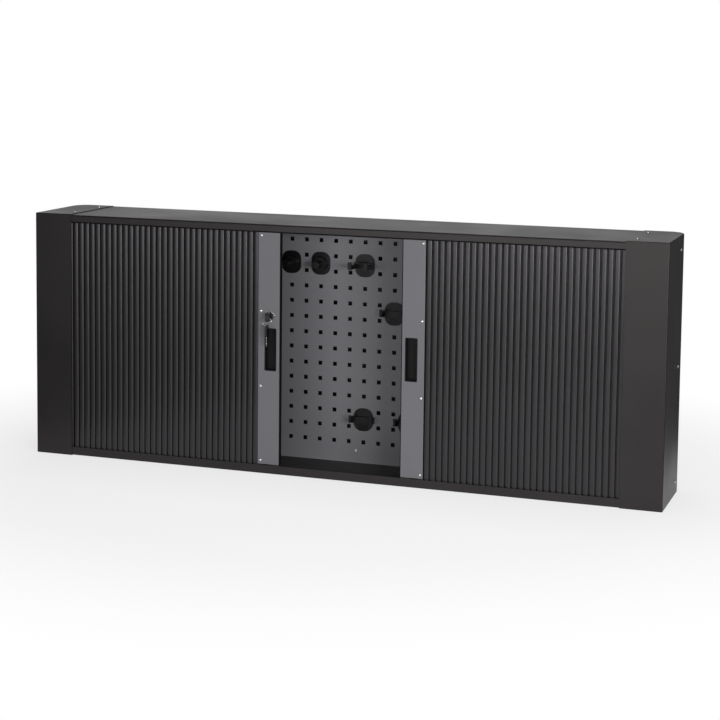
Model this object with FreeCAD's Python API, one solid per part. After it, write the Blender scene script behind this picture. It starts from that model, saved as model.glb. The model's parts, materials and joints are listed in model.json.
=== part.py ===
"""Workbench top cabinet: a shallow sheet-steel cabinet with a perforated tool panel at the back.

Two slatted shutters close it. Each runs in grooved tracks along the front, turns inside the
end box, follows the side and goes on behind the tool panel. A grey lead rail with a pull cup
ends each shutter, and a hook lock on the left rail takes hold of a pin on the right one.

Millimetres. X runs to the right, Z up and the front faces -Y. The origin lies under the
middle of the whole cabinet, keys included. "Depth" is measured back from the front of the end boxes.
"""
import FreeCAD
import Part
import os
from math import cos, pi, radians, sin
from FreeCAD import Vector

# Carcass
WIDTH = 1566.0
HEIGHT = 604.0
DEPTH = 236.0
END_WIDTH = 97.0
SHEET = 1.5
REAR_CORNER_R = 40.0
BEND_R = 2.0
TOP_LIP = 18.5
BOTTOM_LIP = 21.5
REAR_FLANGE = 20.0
TRAY_OVERLAP = 30.0
REAR_PANEL_GAP = 0.3
BROW_END_GAP = 0.3
CUT_OVERRUN = 5.0

# Bolt holes for hanging the cabinet on a wall
WALL_BOLT_R = 4.5
WALL_BOLT_SIDE_INSET = 223.0
WALL_BOLT_END_INSET = 62.0

# Perforated tool panel, the angles that carry it and the inner walls beside it
PANEL_TRACK_GAP = 10.6
PANEL_SHEET = 1.2
PANEL_SIDE_GAP = 0.5
PANEL_TOP_GAP = 1.0
HOLE_PITCH = 38.0
HOLE_SIDE = 10.0
HOLE_SIDE_MARGIN = 8.0
HOLE_END_MARGIN = 42.0
ANGLE_LEG = 42.0
ANGLE_FOOT = 24.0
ANGLE_SHEET = 2.0
ANGLE_END_GAP = 5.0
INNER_SHEET = 1.2
INNER_FRONT_GAP = 2.0
INNER_FRONT_FLANGE = 14.0
INNER_REAR_FLANGE = 24.0

# Screws of the carcass
SCREW_R = 2.0
SCREW_HEAD_R = 4.0
SCREW_HEAD = 1.8
SCREW_CLEAR = 0.2
END_SCREW_INSET = 16.0
END_SCREW_FRONT_DEPTH = 52.0
END_SCREW_TRACK_GAP = 33.8
SIDE_SCREW_CORNER_GAP = 34.0
SIDE_SCREW_END_INSET = 33.0
PANEL_SCREW_SIDE_INSET = 114.3
PANEL_SCREW_RISE = 32.0
STRIP_SHEET = 1.5
STRIP_WIDTH = 22.0
STRIP_END_GAP = 2.0

# Slats and the tracks that they run in
SLAT_PITCH = 15.0
SLAT_GAP = 0.6
SLAT_THICK = 8.0
SLAT_CROWN = 2.5
SLAT_TAPER = 1.2
SPARE_SLAT_COUNT = 2
SLAT_FOOT_CLEAR = 0.3
SLAT_HEAD_CLEAR = 1.0
TRACK_WALL = 2.5
TRACK_BASE = 2.5
TRACK_HEIGHT = 15.0
TRACK_CLEAR = 0.6
TRACK_MEETING_GAP = 1.0
TURN_R = 50.0
REAR_RUN = 400.0

# Lead rails: where the meeting faces stand at rest, and what the rails are made of
LEFT_REST = 133.0
RIGHT_REST = 168.5
RAIL_WIDTH = 54.0
RAIL_SHEET = 1.5
RAIL_FLANGE = 12.0
RAIL_RETURN = 7.0
RAIL_END_GAP = 2.0
SEAL_THICK = 2.0
CARRIER_WIDTH = 14.0
GLIDER_WIDTH = 22.0
GLIDER_OVERLAP = 25.0
RIVET_R = 1.6
RIVET_HEAD_R = 3.0
RIVET_HEAD = 1.2
RIVET_BITE = 5.0
RIVET_INSET = 6.5
RIVET_END_INSET = 8.5
RIVET_COUNT = 4

# Pull cups
CUP_WIDTH = 30.0
CUP_HEIGHT = 103.0
CUP_RIM = 1.0
CUP_RIM_WIDTH = 1.5
CUP_WALL = 1.5
CUP_DEEP = 12.0
CUP_CORNER_R = 3.0
CUP_CLEAR = 0.2
CUP_INSET = 24.5

# Lock on the left rail
LOCK_INSET = 26.5
LOCK_RISE = 80.0
BARREL_R = 9.0
BARREL_LENGTH = 22.0
BEZEL_R = 12.0
BEZEL = 2.0
BARREL_CLEAR = 0.2
PLUG_R = 7.0
PLUG_CLEAR = 0.05
KEYWAY_WIDTH = 2.8
KEYWAY_HEIGHT = 9.6
KEYWAY_DEEP = 20.0
NUT_ACROSS = 24.0
NUT_THICK = 5.0
TAIL_SIDE = 8.0
TAIL_CLEAR = 0.15
HOOK_GAP = 0.3
HOOK_THICK = 3.0
HOOK_HUB_R = 9.0
HOOK_CLAW = 5.0
HOOK_ARM_FROM_DEG = 14.0
HOOK_ARM_TO_DEG = 36.0
HOOK_CLAW_DROP_DEG = 8.0
HOOK_TURN_DEG = 90.0
HOOK_SCREW_R = 2.0
HOOK_SCREW_HEAD_R = 6.5
HOOK_SCREW_HEAD = 2.5
HOOK_SCREW_BITE = 8.0

# What the hook takes hold of on the right rail
PIN_INSET = 9.5
PIN_R = 3.0
PIN_CLEAR = 1.0
PIN_END = 2.0
STRIKE_THICK = 2.0
STRIKE_WIDTH = 18.0
STRIKE_HEIGHT = 40.0

# Keys: one in the lock, one hanging from a ring
BLADE_THICK = 2.2
BLADE_HEIGHT = 8.6
BLADE_BITE = 18.0
BOW_GAP = 1.0
BOW_REACH = 24.0
BOW_HEIGHT = 22.0
BOW_THICK = 4.0
BOW_CORNER_R = 8.0
BOW_SLOT_WIDTH = 2.8
BOW_SLOT_HEIGHT = 14.0
RING_DEPTH = -14.0
RING_R = 11.0
RING_WIRE_R = 0.8
SPARE_BOW_WIDTH = 16.0
SPARE_BOW_HEIGHT = 28.0
SPARE_HOLE_R = 1.3
SPARE_HOLE_EDGE = 3.2
SPARE_BLADE = 22.0

# Tool holders, each hooked into two square holes one above the other
HOLDER_PLATE = 4.0
HOLDER_WIDTH = 48.0
HOLDER_MARGIN = 8.0
HOLDER_CORNER_R = 20.0
HOLDER_RIB = 1.4
HOLDER_RIB_WIDTH = 26.0
HOLDER_RIB_PITCH = 5.0
HOLDER_RIB_COUNT = 3
LUG_CLEAR = 0.4
LUG_BEHIND = 3.0
DRUM_R = 17.0
DRUM_LENGTH = 12.0
PEG_R = 7.0
PEG_LENGTH = 26.0
PEG_CAP_R = 9.5
PEG_CAP = 3.0
PRONG_HEIGHT = 9.0
PRONG_TIP_RISE = 9.0
PRONG_TIP = 5.0
BRIDGE_HEIGHT = 16.0
HAMMER_PRONG = 9.0
HAMMER_GAP = 32.0
HAMMER_REACH = 56.0
PUMP_PRONG = 6.0
PUMP_GAP = 44.0
PUMP_REACH = 30.0
PLIERS_PRONG = 6.0
PLIERS_GAP = 46.0
PLIERS_REACH = 26.0

# Worked-out places
key_front_depth = -(BOW_REACH + BOW_GAP + BEZEL) + 2 * SHEET + TRACK_WALL + TRACK_CLEAR - RAIL_SHEET
FRONT = -(DEPTH + key_front_depth) / 2
mid_height = HEIGHT / 2
floor_z = 2 * SHEET
ceiling_z = HEIGHT - 2 * SHEET
box_inner_x = WIDTH / 2 - END_WIDTH
groove_half = SLAT_THICK / 2 + TRACK_CLEAR
track_half = groove_half + TRACK_WALL
front_run = 2 * SHEET + track_half
rear_run = DEPTH - 2 * SHEET - track_half
side_run_x = WIDTH / 2 - SHEET - track_half
front_length = side_run_x - TURN_R
turn_length = TURN_R * pi / 2
side_length = rear_run - front_run - 2 * TURN_R
slat_foot = floor_z + TRACK_BASE + SLAT_FOOT_CLEAR
slat_head = ceiling_z - TRACK_BASE - SLAT_HEAD_CLEAR
slat_front = front_run - SLAT_THICK / 2
slat_rear = front_run + SLAT_THICK / 2
slat_count = int((front_length - SEAL_THICK - RAIL_WIDTH) / SLAT_PITCH) + 1 + SPARE_SLAT_COUNT
rail_face = slat_front - RAIL_SHEET
rail_foot = BOTTOM_LIP + RAIL_END_GAP
rail_head = HEIGHT - TOP_LIP - RAIL_END_GAP
panel_back = rear_run - track_half - PANEL_TRACK_GAP - ANGLE_FOOT - ANGLE_SHEET
panel_depth = panel_back - PANEL_SHEET
panel_half = box_inner_x - INNER_SHEET - PANEL_SIDE_GAP
panel_screw_x = panel_half - PANEL_SCREW_SIDE_INSET
end_screw_rear_depth = rear_run - track_half - END_SCREW_TRACK_GAP
side_screw_depth = DEPTH - REAR_CORNER_R - SIDE_SCREW_CORNER_GAP
lock_x = -(LEFT_REST + LOCK_INSET)
lock_z = mid_height + LOCK_RISE
lock_face = rail_face - BEZEL
barrel_end = rail_face + BARREL_LENGTH
hook_front = barrel_end + HOOK_GAP
hook_back = hook_front + HOOK_THICK
pin_radius = LOCK_INSET + PIN_INSET
claw_inner_r = pin_radius + PIN_R + PIN_CLEAR
claw_outer_r = claw_inner_r + HOOK_CLAW
ring_z = lock_z - RING_R
spare_hole_z = ring_z - RING_R


def block(x0, x1, depth0, depth1, z0, z1):
    return Part.makeBox(x1 - x0, depth1 - depth0, z1 - z0, Vector(x0, FRONT + depth0, z0))


def rod_along_depth(x, z, radius, depth0, depth1):
    return Part.makeCylinder(radius, depth1 - depth0, Vector(x, FRONT + depth0, z), Vector(0, 1, 0))


def rod_along_z(x, depth, radius, z0, z1):
    return Part.makeCylinder(radius, z1 - z0, Vector(x, FRONT + depth, z0), Vector(0, 0, 1))


def rod_along_x(x0, x1, depth, z, radius):
    return Part.makeCylinder(radius, x1 - x0, Vector(x0, FRONT + depth, z), Vector(1, 0, 0))


def rounded_outline(half_u, half_v, radius, place):
    """A rounded rectangle about zero; place turns its u and v into a point."""
    core_u = half_u - radius
    core_v = half_v - radius
    diagonal = radius * cos(pi / 4)
    edges = []
    corners = [(core_u, core_v, 0), (-core_u, core_v, 1), (-core_u, -core_v, 2), (core_u, -core_v, 3)]
    quarter = [(1, 0), (0, 1), (-1, 0), (0, -1)]
    ends = []
    for u, v, turn in corners:
        along, across = quarter[turn], quarter[(turn + 1) % 4]
        start = place(u + radius * along[0], v + radius * along[1])
        middle = place(u + diagonal * (along[0] + across[0]), v + diagonal * (along[1] + across[1]))
        end = place(u + radius * across[0], v + radius * across[1])
        edges.append(Part.Arc(start, middle, end).toShape())
        ends.append((start, end))
    for turn in range(4):
        edges.append(Part.makeLine(ends[turn][1], ends[(turn + 1) % 4][0]))
    return Part.Face(Part.Wire(Part.__sortEdges__(edges)))


def plaque(x, z, width, height, radius, depth0, depth1):
    """A plate that faces the front, with rounded corners."""
    face = rounded_outline(width / 2, height / 2, radius, lambda u, v: Vector(x + u, FRONT + depth0, z + v))
    return face.extrude(Vector(0, depth1 - depth0, 0))


def paddle(x, depth, z, reach, height, radius, thick):
    """A plate that faces sideways, with rounded corners, centred on x."""
    face = rounded_outline(
        reach / 2, height / 2, radius, lambda u, v: Vector(x - thick / 2, FRONT + depth + u, z + v))
    return face.extrude(Vector(thick, 0, 0))


def to_left(shape):
    return shape.mirror(Vector(0, 0, 0), Vector(1, 0, 0))


def to_top(shape):
    return shape.mirror(Vector(0, 0, mid_height), Vector(0, 0, 1))


def joined(shapes):
    return shapes[0].fuse(shapes[1:]).removeSplitter()


def save(name, *shapes):
    shape = shapes[0] if len(shapes) == 1 else Part.makeCompound(list(shapes))
    shape.exportStep("parts/" + name + ".step")


def plan_prism(inner_x, outer_x, front, rear, corner_r, z0, z1):
    """The end box seen from above, as a prism: square at the front, rounded at the outer rear corner."""
    diagonal = corner_r * cos(pi / 4)
    points = [Vector(inner_x, FRONT + front, z0), Vector(outer_x, FRONT + front, z0),
              Vector(outer_x, FRONT + rear - corner_r, z0), Vector(outer_x - corner_r, FRONT + rear, z0),
              Vector(inner_x, FRONT + rear, z0)]
    middle = Vector(outer_x - corner_r + diagonal, FRONT + rear - corner_r + diagonal, z0)
    edges = [Part.makeLine(points[0], points[1]), Part.makeLine(points[1], points[2]),
             Part.Arc(points[2], middle, points[3]).toShape(),
             Part.makeLine(points[3], points[4]), Part.makeLine(points[4], points[0])]
    return Part.Face(Part.Wire(edges)).extrude(Vector(0, 0, z1 - z0))


end_screw_x = box_inner_x + END_SCREW_INSET
end_screw_places = [(end_screw_x, END_SCREW_FRONT_DEPTH), (end_screw_x, end_screw_rear_depth)]
side_screw_heights = [SIDE_SCREW_END_INSET, mid_height, HEIGHT - SIDE_SCREW_END_INSET]
panel_screw_places = [(x, z) for x in (-panel_screw_x, 0, panel_screw_x)
                      for z in (PANEL_SCREW_RISE, HEIGHT - PANEL_SCREW_RISE)]


def end_screw_holes():
    """Holes of the right end through sheet and tray, top and bottom."""
    holes = [rod_along_z(x, depth, SCREW_R + SCREW_CLEAR, -CUT_OVERRUN, floor_z + CUT_OVERRUN)
             for x, depth in end_screw_places]
    return holes + [to_top(hole) for hole in holes]


def is_bend(edge):
    """True for the outline of an end box's top and foot, and for its upright front edge."""
    box = edge.BoundBox
    if box.XMax < box_inner_x + SHEET:
        return False
    return box.ZLength < SHEET or box.YMax < FRONT + SHEET


def end_box():
    outer_x = WIDTH / 2
    shell = plan_prism(box_inner_x, outer_x, 0, DEPTH, REAR_CORNER_R, 0, HEIGHT)
    shell = shell.makeFillet(BEND_R, [edge for edge in shell.Edges if is_bend(edge)])
    hollow = plan_prism(box_inner_x - CUT_OVERRUN, outer_x - SHEET, SHEET, DEPTH - SHEET,
                        REAR_CORNER_R - SHEET, SHEET, HEIGHT - SHEET)
    side_holes = [rod_along_x(outer_x - CUT_OVERRUN, outer_x + CUT_OVERRUN, side_screw_depth, z,
                              SCREW_R + SCREW_CLEAR) for z in side_screw_heights]
    return shell.cut(hollow).cut(end_screw_holes() + side_holes)


def bottom_tray(lip):
    """Floor tray with a front lip of the given height above the end boxes' foot."""
    end_x = box_inner_x + TRAY_OVERLAP
    tray = joined([block(-end_x, end_x, SHEET, DEPTH - SHEET, SHEET, floor_z),
                   block(-end_x, end_x, SHEET, 2 * SHEET, SHEET, lip),
                   block(-end_x, end_x, DEPTH - 2 * SHEET, DEPTH - SHEET, SHEET, REAR_FLANGE)])
    holes = end_screw_holes()
    return tray.cut(holes + [to_left(hole) for hole in holes])


def top_tray():
    """The tray upside down, with its sheet running on past the lip as a brow between the end boxes."""
    brow_x = box_inner_x - BROW_END_GAP
    brow = block(-brow_x, brow_x, 0, SHEET, ceiling_z, HEIGHT - SHEET)
    return joined([to_top(bottom_tray(TOP_LIP)), brow])


def carcass_sheets():
    right_box = end_box()
    save("right_end_box", right_box)
    save("left_end_box", to_left(right_box))
    save("bottom_tray", bottom_tray(BOTTOM_LIP))
    save("top_tray", top_tray())
    half = box_inner_x - REAR_PANEL_GAP
    sheet = block(-half, half, DEPTH - SHEET, DEPTH, SHEET, HEIGHT - SHEET)
    bolt_x = WIDTH / 2 - WALL_BOLT_SIDE_INSET
    bolts = [rod_along_depth(x, z, WALL_BOLT_R, DEPTH - CUT_OVERRUN, DEPTH + CUT_OVERRUN)
             for x in (-bolt_x, bolt_x) for z in (WALL_BOLT_END_INSET, HEIGHT - WALL_BOLT_END_INSET)]
    save("rear_panel", sheet.cut(bolts))


def square_hole(x, z):
    half = HOLE_SIDE / 2
    corners = [(-half, -half), (half, -half), (half, half), (-half, half), (-half, -half)]
    return Part.makePolygon([Vector(x + u, FRONT + panel_depth, z + v) for u, v in corners])


def perforated_panel():
    foot = floor_z
    head = ceiling_z - PANEL_TOP_GAP
    corners = [(-panel_half, foot), (panel_half, foot), (panel_half, head), (-panel_half, head),
               (-panel_half, foot)]
    outline = Part.makePolygon([Vector(x, FRONT + panel_depth, z) for x, z in corners])
    half_columns = int((panel_half - HOLE_SIDE_MARGIN - HOLE_SIDE / 2) / HOLE_PITCH + 1 / 2)
    half_rows = int((head - mid_height - HOLE_END_MARGIN - HOLE_SIDE / 2) / HOLE_PITCH + 1 / 2)
    holes = [square_hole(hole_x(column), hole_z(row))
             for column in range(-half_columns, half_columns) for row in range(-half_rows, half_rows)]
    screw_hole_r = SCREW_R + SCREW_CLEAR
    screws = [Part.Wire(Part.makeCircle(screw_hole_r, Vector(x, FRONT + panel_depth, z), Vector(0, 1, 0)))
              for x, z in panel_screw_places]
    face = Part.Face([outline] + holes + screws)
    face.validate()
    return face.extrude(Vector(0, PANEL_SHEET, 0))


def hole_x(column):
    """Middle of a column of holes; column 0 is the first one right of the middle."""
    return (column + 1 / 2) * HOLE_PITCH


def hole_z(row):
    """Middle of a row of holes; row 0 is the first one above mid height."""
    return mid_height + (row + 1 / 2) * HOLE_PITCH


def panel_angle():
    half = box_inner_x - INNER_SHEET - INNER_REAR_FLANGE - ANGLE_END_GAP
    leg_back = panel_back + ANGLE_SHEET
    angle = joined([block(-half, half, panel_back, leg_back, floor_z, floor_z + ANGLE_LEG),
                    block(-half, half, leg_back, leg_back + ANGLE_FOOT, floor_z, floor_z + ANGLE_SHEET)])
    holes = [rod_along_depth(x, z, SCREW_R + SCREW_CLEAR, panel_back - CUT_OVERRUN, leg_back + CUT_OVERRUN)
             for x, z in panel_screw_places if z < mid_height]
    return angle.cut(holes)


def inner_wall():
    front = front_run + track_half + INNER_FRONT_GAP
    inner_x = box_inner_x - INNER_SHEET
    rear = panel_back + INNER_SHEET
    return joined([block(inner_x, box_inner_x, front, rear, floor_z, ceiling_z),
                   block(box_inner_x, box_inner_x + INNER_FRONT_FLANGE, front, front + INNER_SHEET,
                         floor_z, ceiling_z),
                   block(inner_x - INNER_REAR_FLANGE, inner_x, panel_back, rear, floor_z, ceiling_z)])


def tool_panel():
    save("perforated_panel", perforated_panel())
    angle = panel_angle()
    save("lower_panel_rail", angle)
    save("upper_panel_rail", to_top(angle))
    wall = inner_wall()
    save("right_inner_wall", wall)
    save("left_inner_wall", to_left(wall))


def screw_down(x, depth, head_foot, tip):
    """A screw that points down, with its head standing on head_foot."""
    return joined([rod_along_z(x, depth, SCREW_HEAD_R, head_foot, head_foot + SCREW_HEAD),
                   rod_along_z(x, depth, SCREW_R, tip, head_foot)])


def carcass_screws():
    right = []
    for x, depth in end_screw_places:
        right.append(screw_down(x, depth, HEIGHT, ceiling_z))
        right.append(screw_down(x, depth, floor_z, 0))
    save("end_box_screws", *right, *[to_left(screw) for screw in right])
    outer_x = WIDTH / 2
    sides = [joined([rod_along_x(outer_x, outer_x + SCREW_HEAD, side_screw_depth, z, SCREW_HEAD_R),
                     rod_along_x(outer_x - SHEET - STRIP_SHEET, outer_x, side_screw_depth, z, SCREW_R)])
             for z in side_screw_heights]
    save("side_screws", *sides, *[to_left(screw) for screw in sides])
    panel = [joined([rod_along_depth(x, z, SCREW_HEAD_R, panel_depth - SCREW_HEAD, panel_depth),
                     rod_along_depth(x, z, SCREW_R, panel_depth, panel_back + ANGLE_SHEET)])
             for x, z in panel_screw_places]
    save("panel_screws", *panel)


def nut_strips():
    outer_x = WIDTH / 2 - SHEET
    inner_x = outer_x - STRIP_SHEET
    foot = floor_z + TRACK_HEIGHT + STRIP_END_GAP
    strip = block(inner_x, outer_x, side_screw_depth - STRIP_WIDTH / 2, side_screw_depth + STRIP_WIDTH / 2,
                  foot, HEIGHT - foot)
    strip = strip.cut([rod_along_x(inner_x - CUT_OVERRUN, outer_x + CUT_OVERRUN, side_screw_depth, z,
                                   SCREW_R + SCREW_CLEAR) for z in side_screw_heights])
    save("right_nut_strip", strip)
    save("left_nut_strip", to_left(strip))


def run_edges(offset):
    """The shutter's run on the right, moved outwards by offset, as edges from the middle to the rear end."""
    radius = TURN_R + offset
    diagonal = radius * cos(pi / 4)
    front_y = FRONT + front_run
    rear_y = FRONT + rear_run

    def at(x, y):
        return Vector(x, y, floor_z)

    start = at(TRACK_MEETING_GAP / 2, front_y - offset)
    turn1 = at(front_length, front_y - offset)
    turn1_middle = at(front_length + diagonal, front_y + TURN_R - diagonal)
    side1 = at(side_run_x + offset, front_y + TURN_R)
    side2 = at(side_run_x + offset, rear_y - TURN_R)
    turn2_middle = at(front_length + diagonal, rear_y - TURN_R + diagonal)
    turn2 = at(front_length, rear_y + offset)
    end = at(front_length - REAR_RUN, rear_y + offset)
    edges = [Part.makeLine(start, turn1), Part.Arc(turn1, turn1_middle, side1).toShape(),
             Part.makeLine(side1, side2), Part.Arc(side2, turn2_middle, turn2).toShape(),
             Part.makeLine(turn2, end)]
    return edges, start, end


def run_band(inner, outer, height):
    """A strip along the run between two offsets, standing on the tray floor."""
    inner_edges, inner_start, inner_end = run_edges(inner)
    outer_edges, outer_start, outer_end = run_edges(outer)
    caps = [Part.makeLine(inner_start, outer_start), Part.makeLine(inner_end, outer_end)]
    wire = Part.Wire(Part.__sortEdges__(inner_edges + outer_edges + caps))
    return Part.Face(wire).extrude(Vector(0, 0, height))


def tracks():
    lower = joined([run_band(-track_half, track_half, TRACK_BASE),
                    run_band(groove_half, track_half, TRACK_HEIGHT),
                    run_band(-track_half, -groove_half, TRACK_HEIGHT)])
    save("right_lower_track", lower)
    save("left_lower_track", to_left(lower))
    save("right_upper_track", to_top(lower))
    save("left_upper_track", to_left(to_top(lower)))


def run_place(distance):
    """Place and heading on the run, at a distance from the middle of the cabinet: x, depth, degrees."""
    if distance <= front_length:
        return distance, front_run, 0
    distance -= front_length
    if distance <= turn_length:
        turned = distance / TURN_R
        return front_length + TURN_R * sin(turned), front_run + TURN_R * (1 - cos(turned)), turned * 180 / pi
    distance -= turn_length
    if distance <= side_length:
        return side_run_x, front_run + TURN_R + distance, 90
    distance -= side_length
    if distance <= turn_length:
        turned = distance / TURN_R
        return (front_length + TURN_R * cos(turned), rear_run - TURN_R * (1 - sin(turned)),
                90 + turned * 180 / pi)
    return front_length - (distance - turn_length), rear_run, 180


def slat_at(distance):
    """One slat of the right shutter: crowned outwards, narrower at its rear so that it can turn."""
    half = (SLAT_PITCH - SLAT_GAP) / 2
    front = -SLAT_THICK / 2
    shoulder = front + SLAT_CROWN
    rear = SLAT_THICK / 2
    left = Vector(-half, shoulder, slat_foot)
    right = Vector(half, shoulder, slat_foot)
    rear_right = Vector(half - SLAT_TAPER, rear, slat_foot)
    rear_left = Vector(-half + SLAT_TAPER, rear, slat_foot)
    edges = [Part.Arc(left, Vector(0, front, slat_foot), right).toShape(), Part.makeLine(right, rear_right),
             Part.makeLine(rear_right, rear_left), Part.makeLine(rear_left, left)]
    slat = Part.Face(Part.Wire(edges)).extrude(Vector(0, 0, slat_head - slat_foot))
    x, depth, heading = run_place(distance)
    slat.rotate(Vector(0, 0, 0), Vector(0, 0, 1), heading)
    slat.translate(Vector(x, FRONT + depth, 0))
    return slat


def curtain(rail_outer):
    """The slats that hang behind a rail's outer edge: those on the straight front run, and the rest."""
    straight = []
    stored = []
    for number in range(slat_count):
        middle = rail_outer + (number + 1 / 2) * SLAT_PITCH
        group = straight if middle + SLAT_PITCH / 2 <= front_length else stored
        group.append(slat_at(middle))
    return straight, stored


def lead_rail(steel_edge, outer):
    """Folded rail of the right shutter: face, meeting flange and return, with holes for cup and rivets."""
    flange_back = rail_face + RAIL_FLANGE
    inner = steel_edge + RAIL_SHEET
    rail = joined([block(steel_edge, outer, rail_face, slat_front, rail_foot, rail_head),
                   block(steel_edge, inner, slat_front, flange_back, rail_foot, rail_head),
                   block(inner, steel_edge + RAIL_RETURN, flange_back - RAIL_SHEET, flange_back,
                         rail_foot, rail_head)])
    cup_x = steel_edge - SEAL_THICK + CUP_INSET
    opening = plaque(cup_x, mid_height, CUP_WIDTH - 2 * (CUP_RIM_WIDTH - CUP_CLEAR),
                     CUP_HEIGHT - 2 * (CUP_RIM_WIDTH - CUP_CLEAR), CUP_CORNER_R,
                     rail_face - CUT_OVERRUN, slat_front + CUP_CLEAR)
    holes = [rod_along_depth(outer - RIVET_INSET, z, RIVET_R + SCREW_CLEAR, rail_face - CUT_OVERRUN,
                             slat_front + SCREW_CLEAR) for z in rivet_heights()]
    return rail.cut([opening] + holes)


def rivet_heights():
    first = rail_foot + RIVET_END_INSET
    pitch = (rail_head - RIVET_END_INSET - first) / (RIVET_COUNT - 1)
    return [first + number * pitch for number in range(RIVET_COUNT)]


def carrier_bar(outer):
    bar = block(outer - CARRIER_WIDTH, outer, slat_front, slat_rear, slat_foot, slat_head)
    holes = [rod_along_depth(outer - RIVET_INSET, z, RIVET_R + SCREW_CLEAR, slat_front - CUT_OVERRUN,
                             slat_front + RIVET_BITE + SCREW_CLEAR) for z in rivet_heights()]
    return bar.cut(holes)


def rail_rivets(outer):
    x = outer - RIVET_INSET
    return [joined([rod_along_depth(x, z, RIVET_HEAD_R, rail_face - RIVET_HEAD, rail_face),
                    rod_along_depth(x, z, RIVET_R, rail_face, slat_front + RIVET_BITE)])
            for z in rivet_heights()]


def pull_cup(steel_edge):
    x = steel_edge - SEAL_THICK + CUP_INSET
    rim_front = rail_face - CUP_RIM
    width = CUP_WIDTH - 2 * CUP_RIM_WIDTH
    height = CUP_HEIGHT - 2 * CUP_RIM_WIDTH
    rim = plaque(x, mid_height, CUP_WIDTH, CUP_HEIGHT, CUP_CORNER_R, rim_front, rail_face)
    body = plaque(x, mid_height, width, height, CUP_CORNER_R, rail_face, rail_face + CUP_DEEP)
    hollow = plaque(x, mid_height, width - 2 * CUP_WALL, height - 2 * CUP_WALL, CUP_CORNER_R - CUP_WALL,
                    rim_front - CUT_OVERRUN, rail_face + CUP_DEEP - CUP_WALL)
    return joined([rim, body]).cut(hollow)


def rail_gliders(steel_edge):
    inner = steel_edge + RAIL_SHEET
    foot = block(inner, inner + GLIDER_WIDTH, slat_front, slat_rear, slat_foot, rail_foot + GLIDER_OVERLAP)
    head = block(inner, inner + GLIDER_WIDTH, slat_front, slat_rear, rail_head - GLIDER_OVERLAP, slat_head)
    return [foot, head]


def shutter(side, rest, rail_cuts, flip):
    """Everything that slides on one side, except the lock. rest is where the meeting face stands."""
    steel_edge = rest + SEAL_THICK
    outer = steel_edge + RAIL_WIDTH
    straight, stored = curtain(outer)
    rail = flip(lead_rail(steel_edge, outer))
    if rail_cuts:
        rail = rail.cut(rail_cuts)
    save(side + "_lead_rail", rail)
    save(side + "_carrier_bar", flip(carrier_bar(outer)))
    save(side + "_edge_seal", flip(block(rest, steel_edge, rail_face, rail_face + RAIL_FLANGE,
                                         rail_foot, rail_head)))
    save(side + "_rail_gliders", *[flip(shape) for shape in rail_gliders(steel_edge)])
    save(side + "_rail_rivets", *[flip(shape) for shape in rail_rivets(outer)])
    save(side + "_pull_cup", flip(pull_cup(steel_edge)))
    save(side + "_front_slats", *[flip(shape) for shape in straight])
    save(side + "_stored_slats", *[flip(shape) for shape in stored])


def as_is(shape):
    return shape


def shutters():
    lock_hole = rod_along_depth(lock_x, lock_z, BARREL_R + BARREL_CLEAR, rail_face - CUT_OVERRUN,
                                slat_front + CUT_OVERRUN)
    shutter("left", LEFT_REST, [lock_hole], to_left)
    shutter("right", RIGHT_REST, [], as_is)


def around_lock(depth, radius, degrees):
    """A point at an angle round the lock's axis, counted from +X towards +Z."""
    angle = radians(degrees)
    return Vector(lock_x + radius * cos(angle), FRONT + depth, lock_z + radius * sin(angle))


def lock_sector(inner_r, outer_r, from_deg, to_deg):
    """A piece of a ring, or a wedge when inner_r is zero, as thick as the hook."""
    middle = (from_deg + to_deg) / 2
    outer = [around_lock(hook_front, outer_r, angle) for angle in (from_deg, middle, to_deg)]
    inner = [around_lock(hook_front, inner_r, angle) for angle in (from_deg, middle, to_deg)]
    edges = [Part.Arc(*outer).toShape(), Part.makeLine(inner[0], outer[0]), Part.makeLine(inner[2], outer[2])]
    if inner_r:
        edges.append(Part.Arc(*inner).toShape())
    face = Part.Face(Part.Wire(Part.__sortEdges__(edges)))
    return face.extrude(Vector(0, HOOK_THICK, 0))


def lock_barrel():
    bezel = rod_along_depth(lock_x, lock_z, BEZEL_R, lock_face, rail_face)
    body = rod_along_depth(lock_x, lock_z, BARREL_R, rail_face, barrel_end)
    bore = rod_along_depth(lock_x, lock_z, PLUG_R + PLUG_CLEAR, lock_face - CUT_OVERRUN,
                           barrel_end + CUT_OVERRUN)
    return joined([bezel, body]).cut(bore)


def lock_nut():
    corner_r = NUT_ACROSS / 2 / cos(pi / 6)
    corners = [Vector(lock_x + corner_r * cos(number * pi / 3), FRONT + slat_front,
                      lock_z + corner_r * sin(number * pi / 3)) for number in range(7)]
    nut = Part.Face(Part.makePolygon(corners)).extrude(Vector(0, NUT_THICK, 0))
    return nut.cut(rod_along_depth(lock_x, lock_z, BARREL_R + BARREL_CLEAR, slat_front - CUT_OVERRUN,
                                   slat_front + NUT_THICK + CUT_OVERRUN))


def lock_plug():
    half_tail = TAIL_SIDE / 2
    plug = joined([rod_along_depth(lock_x, lock_z, PLUG_R, lock_face, hook_front),
                   block(lock_x - half_tail, lock_x + half_tail, hook_front, hook_back,
                         lock_z - half_tail, lock_z + half_tail)])
    keyway = block(lock_x - KEYWAY_WIDTH / 2, lock_x + KEYWAY_WIDTH / 2, lock_face - CUT_OVERRUN,
                   lock_face + KEYWAY_DEEP, lock_z - KEYWAY_HEIGHT / 2, lock_z + KEYWAY_HEIGHT / 2)
    thread = rod_along_depth(lock_x, lock_z, HOOK_SCREW_R + SCREW_CLEAR,
                             hook_back - HOOK_SCREW_BITE - SCREW_CLEAR, hook_back + CUT_OVERRUN)
    return plug.cut([keyway, thread])


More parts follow.
